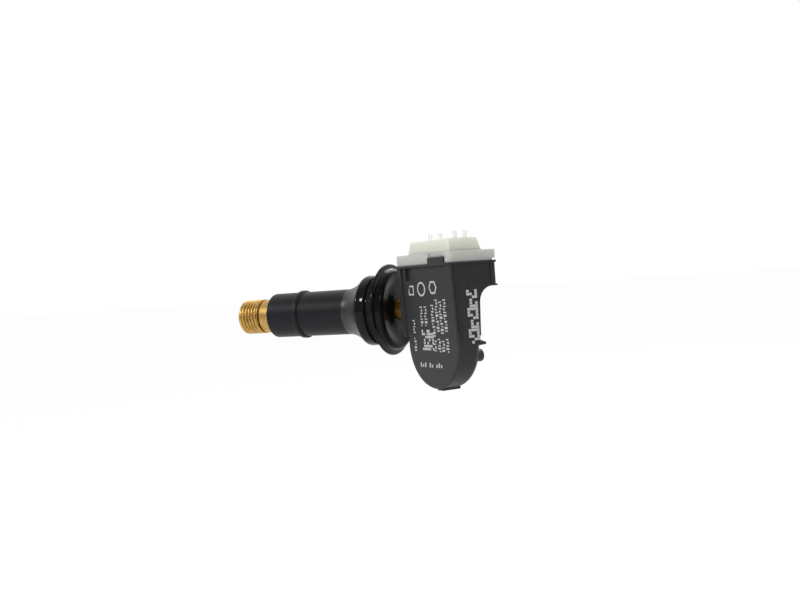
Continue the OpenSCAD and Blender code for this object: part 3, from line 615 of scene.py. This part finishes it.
# The front panel is painted lighter than the sides, and the whole housing is painted lighter towards the
# bottom: both are painted light. The mottle is the plastic's own.
near, far = ((PANEL_AT + depth) * MM for depth in PANEL_PAINTED_LIGHT_DEPTH)
panel = span(tree, reach(tree, place, TO_BACK), near, far, 0.5, 0)
bottom, top = (z * MM for z in PAINTED_LIGHT_LOW_Z)
low = span(tree, reach(tree, place, (0, 0, 1)), bottom, top, 0.4, 0)
mottle = span(tree, speckle(tree, place, 0.6), 0.3, 0.7, 0, 0.15)
tone_and_painted_light = combine(tree, "ADD", combine(tree, "ADD", panel, low), mottle)
tree.links.new(shades(tree, tone_and_painted_light, (0, (0.0095, 0.0095, 0.011)), (1, (0.024, 0.024, 0.0255))),
               shader.inputs["Base Color"])
grain = speckle(tree, place, 0.09, 5)
tree.links.new(span(tree, grain, 0.3, 0.7, 0.39, 0.53), shader.inputs["Roughness"])
raise_by(tree, shader, grain, 0.012)
shell.data.materials.append(moulded)
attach(shell, "sensor")
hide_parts("housing")

# Marks
# Laser marks, light grey in the black plastic: plain outlines, columns and fields of small blocks, and a row
# of bars. Their places are in mm in the housing's own directions: x along the panel, y to the back, z up.
HOUSING_FRAME = Matrix.Translation(Vector(SEAT_CORNER) * MM) @ Matrix.Rotation(CANT, 4, "Z")
BODY_W = 19.1
RAIL_L = 14.4
PANEL_STEP = 0.35
PANEL_SLOPE = 0.49 / RAIL_L
MARK_T = 0.03
OUTLINES = (
    # x, z, radius, wall, sides
    (4.2, -5.0, 1.4, 0.3, 4), (7.9, -4.8, 1.45, 0.35, 28), (12.0, -4.6, 1.45, 0.35, 6))
COLUMNS = (
    # x, top, bottom, width
    (11.1, -8.0, -17.2, 0.95), (12.6, -7.0, -17.2, 0.95), (13.95, -7.4, -17.2, 0.95),
    (15.4, -7.0, -17.2, 0.95), (4.0, -11.0, -17.2, 0.75), (7.1, -8.3, -12.4, 0.85), (8.6, -8.3, -12.4, 0.85))
BLOCK_LENGTHS = (0.24, 0.46, 0.24, 0.38)
BLOCK_WIDTHS = (1, 0.5, 0.9, 0.55, 1)
BLOCK_GAP = 0.27
LONG_GAP = 0.75
LONG_GAP_EVERY = 11
CLEAR = 0.05
PANEL_FIELD = (6.85, -13.2)
PANEL_FIELD_PITCH = 0.6
PANEL_FIELD_BLOCK = (0.54, 0.48)
BARS = (5.6, -20.0)
BAR_PITCH = 0.8
BAR_WIDTH = 0.42
TALL_BAR = 0.9
SHORT_BAR = 0.6
BAR_PLACES = (0, 1, 2, 4, 5, 7, 8, 9)
SIDE_FIELD = (3.7, -5.7)
SIDE_FIELD_PITCH = (0.64, 0.58)
marked, tree, shader, place = finish("laser_mark_finish", (0.4, 0.4, 0.39), 0.7, gloss=0.2)
dots = speckle(tree, place, 0.12, 3)
tree.links.new(shades(tree, dots, (0.3, (0.2, 0.2, 0.195)), (0.6, (0.46, 0.46, 0.45))),
               shader.inputs["Base Color"])
raise_by(tree, shader, dots, 0.01)


def new_marks(name):
    """An empty piece, open in edit mode for its marks."""
    bpy.ops.object.select_all(action="DESELECT")
    bpy.ops.mesh.primitive_plane_add(size=MM)
    marks = bpy.context.object
    marks.name = name
    bpy.ops.object.mode_set(mode="EDIT")
    bpy.ops.mesh.select_all(action="SELECT")
    bpy.ops.mesh.delete(type="VERT")
    return marks


def on_panel(x, z):
    """Where a mark stands on the front panel, and how far it leans with the railed part of it."""
    y = PANEL_STEP + PANEL_SLOPE * min(-z, RAIL_L)
    lean = atan2(PANEL_SLOPE, 1) if z > -RAIL_L else 0
    return (x * MM, y * MM, z * MM), pi / 2 + lean


def block(place, turn, size):
    """Adds one flat block and brings it to its size, given along the housing's directions."""
    bpy.ops.mesh.primitive_plane_add(size=MM, location=place, rotation=turn)
    bpy.ops.transform.resize(value=size, center_override=place)


def panel_bar(x, z, width, height):
    """Adds one block on the front panel."""
    place, lean = on_panel(x, z)
    block(place, (lean, 0, 0), (width, height, height))


def outline(x, z, radius, wall, sides):
    """An open regular shape that stands on one of its sides."""
    place, lean = on_panel(x, z)
    bpy.ops.mesh.primitive_circle_add(vertices=sides, radius=radius * MM, fill_type="NGON", location=place,
                                      rotation=(lean, pi / sides, 0))
    bpy.ops.mesh.inset(thickness=wall * MM)
    bpy.ops.mesh.delete(type="FACE")


def column(x, top, bottom, width):
    """Blocks one below another, wide and narrow in turn by rule. None crosses the end of the rails."""
    z, count = top, 0
    while z > bottom:
        length = BLOCK_LENGTHS[count % len(BLOCK_LENGTHS)]
        share = BLOCK_WIDTHS[count % len(BLOCK_WIDTHS)]
        side = (1 if count % 3 else -1) * (1 - share) / 2
        if not z + CLEAR > -RAIL_L > z - length - CLEAR:
            panel_bar(x + side * width, z - length / 2, share * width, length)
        count += 1
        z -= length + (BLOCK_GAP if count % LONG_GAP_EVERY else LONG_GAP)


def field(rows, cols):
    """The places in a grid that hold a block, chosen by rule."""
    return [(row, col) for row in range(rows) for col in range(cols)
            if (3 * row * row + 5 * col * col + row * col) % 7 < 4]


def lift_marks(marks):
    """Gives the flat marks their thickness and finish, and sets them on the housing."""
    bpy.ops.object.mode_set(mode="OBJECT")
    plate = marks.modifiers.new("plate", "SOLIDIFY")
    plate.thickness = MARK_T * MM
    plate.offset = 0.5
    bpy.ops.object.modifier_apply(modifier="plate")
    marks.matrix_world = HOUSING_FRAME
    bpy.ops.object.transform_apply(location=True, rotation=True, scale=True)
    marks.data.materials.append(marked)
    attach(marks, "sensor")


panel_marks = new_marks("panel_marks")
for shape in OUTLINES:
    outline(*shape)
for stack in COLUMNS:
    column(*stack)
for row, col in field(7, 7):
    panel_bar(PANEL_FIELD[0] + PANEL_FIELD_PITCH * col, PANEL_FIELD[1] - PANEL_FIELD_PITCH * row,
              *PANEL_FIELD_BLOCK)
for bar in BAR_PLACES:
    height = SHORT_BAR if bar % 2 else TALL_BAR
    panel_bar(BARS[0] + BAR_PITCH * bar, BARS[1] - (TALL_BAR - height) / 2, BAR_WIDTH, height)
lift_marks(panel_marks)

side_marks = new_marks("side_marks")
for row, col in field(18, 4):
    y, z = SIDE_FIELD[0] + SIDE_FIELD_PITCH[0] * col, SIDE_FIELD[1] - SIDE_FIELD_PITCH[1] * row
    block((BODY_W * MM, y * MM, z * MM), (pi / 2, 0, pi / 2), (1, 0.6, 0.5))
lift_marks(side_marks)

# Lid
# Moulded from natural, milky plastic and welded on: a flange, a raised middle with posts, and a notch that
# keys it to the housing's tab. The raised middle's left end is set in from where the solid has it.
LID_T = 2.15
LID_BREAK = 0.12
DOME_X = 2.6
DOME_END_DEPTH = 1.5
DOME_SET_IN = 1.2
DOME_TOP_Z = 13.6
SHADE_LOW_Z = 8.5
SHADE_HIGH_Z = 15
# Colours up the lid, from the flange to the posts. The lightening towards the raised middle's top is painted
# light, and the posts' near white is a painted glow.
FLANGE_SHADE = (0.46, 0.47, 0.44)
WELD_SHADE = (0.50, 0.51, 0.47)
DOME_SHADE = (0.68, 0.69, 0.58)
TOP_PAINTED_LIGHT = (0.72, 0.73, 0.62)
POST_PAINTED_GLOW = (0.95, 0.95, 0.92)
cover = cast_from("sensor_lid", "lid")
to_housing = HOUSING_FRAME.inverted()
set_in = HOUSING_FRAME.to_3x3() @ Vector((DOME_SET_IN * MM, 0, 0))
for vertex in cover.data.vertices:
    x, y, z = to_housing @ vertex.co / MM
    if DOME_X - 0.1 < x < DOME_X + DOME_END_DEPTH and z > LID_T - 0.05:
        vertex.co += set_in
break_edges(cover, LID_BREAK, segments=3, foot_z=DOME_TOP_Z)
milky, tree, shader, place = finish("lid_finish_painted_light", (0.74, 0.75, 0.66), 0.38)
shader.inputs["Subsurface Weight"].default_value = 0.7
shader.inputs["Subsurface Radius"].default_value = (1, 1, 0.8)
shader.inputs["Subsurface Scale"].default_value = 3 * MM
waver = span(tree, speckle(tree, place, 4.0), 0.35, 0.65, -0.05 * MM, 0.05 * MM)
height = combine(tree, "ADD", reach(tree, place, (0, 0, 1)), waver)
upward_tone_and_painted_light = span(tree, height, SHADE_LOW_Z * MM, SHADE_HIGH_Z * MM, 0, 1)
# Darker on the flange and lighter on the raised middle, then lighter still towards its top as painted light;
# the posts are painted nearly white, a painted glow of light through them.
tree.links.new(shades(tree, upward_tone_and_painted_light, (0, FLANGE_SHADE), (0.41, WELD_SHADE), (0.47, DOME_SHADE),
                      (0.8, TOP_PAINTED_LIGHT), (0.81, POST_PAINTED_GLOW)), shader.inputs["Base Color"])
tree.links.new(span(tree, upward_tone_and_painted_light, 0.8, 0.81, 0.3, 0.9), shader.inputs["Transmission Weight"])
grain = speckle(tree, place, 0.15)
tree.links.new(span(tree, grain, 0.3, 0.7, 0.32, 0.46), shader.inputs["Roughness"])
raise_by(tree, shader, grain, 0.008)
cover.data.materials.append(milky)
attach(cover, "sensor")
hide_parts("lid")

# Clamp screw
# Zinc-plated steel with a six-lobe socket. It clamps the housing's ear to the valve's boss.
dress("screw", metal_finish("screw_finish", (0.68, 0.68, 0.66), (0.5, 0.5, 0.5), 0.28, 0.05, (1, 1, 1)))

# Coin cell
# A nickel-plated can and cap with a plastic gasket between them, in the round pocket. Welded strips of
# rolled nickel join it to the board.
plating = metal_finish("cell_finish", (0.7, 0.69, 0.66), (0.52, 0.51, 0.49), 0.3, 0.05, (1, 0.1, 1))
strip = metal_finish("tab_finish", (0.62, 0.6, 0.55), (0.48, 0.46, 0.42), 0.35, 0.04, (1, 1, 0.05))
for node in ("cell_can", "cell_cap"):
    dress(node, plating)
for node in ("tab_positive", "tab_negative"):
    dress(node, strip)
dress("cell_gasket", moulded_finish("gasket_finish", (0.6, 0.6, 0.56), (0.5, 0.5, 0.47), 0.45, 0.1, 0.004))

# Circuit board and its parts
# A green board under the lid. It carries the pressure chip with its metal lid and air seal, the pickup
# coil on its ferrite, the wire antenna, the crystal in its can and the ceramic capacitors.
dress("circuit_board", moulded_finish("board_finish", (0.02, 0.11, 0.04), (0.012, 0.07, 0.025),
                                      0.3, 0.2, 0.006))
dress("sensor_chip", moulded_finish("chip_finish", (0.02, 0.02, 0.02), (0.013, 0.013, 0.013),
                                    0.55, 0.05, 0.006))
dress("chip_lid", plating)
dress("port_seal", moulded_finish("port_finish", (0.5, 0.14, 0.04), (0.38, 0.1, 0.03), 0.6, 0.08, 0.006))
dress("coil_core", moulded_finish("ferrite_finish", (0.05, 0.05, 0.055), (0.03, 0.03, 0.033),
                                  0.5, 0.05, 0.01))
dress("coil_winding", metal_finish("copper_finish", (0.65, 0.26, 0.12), (0.45, 0.16, 0.07),
                                   0.3, 0.06, (0.05, 1, 1)))
dress("rf_antenna", strip)
dress("crystal", plating)
dress("capacitors", moulded_finish("ceramic_finish", (0.33, 0.22, 0.12), (0.25, 0.16, 0.09),
                                   0.45, 0.06, 0.005))
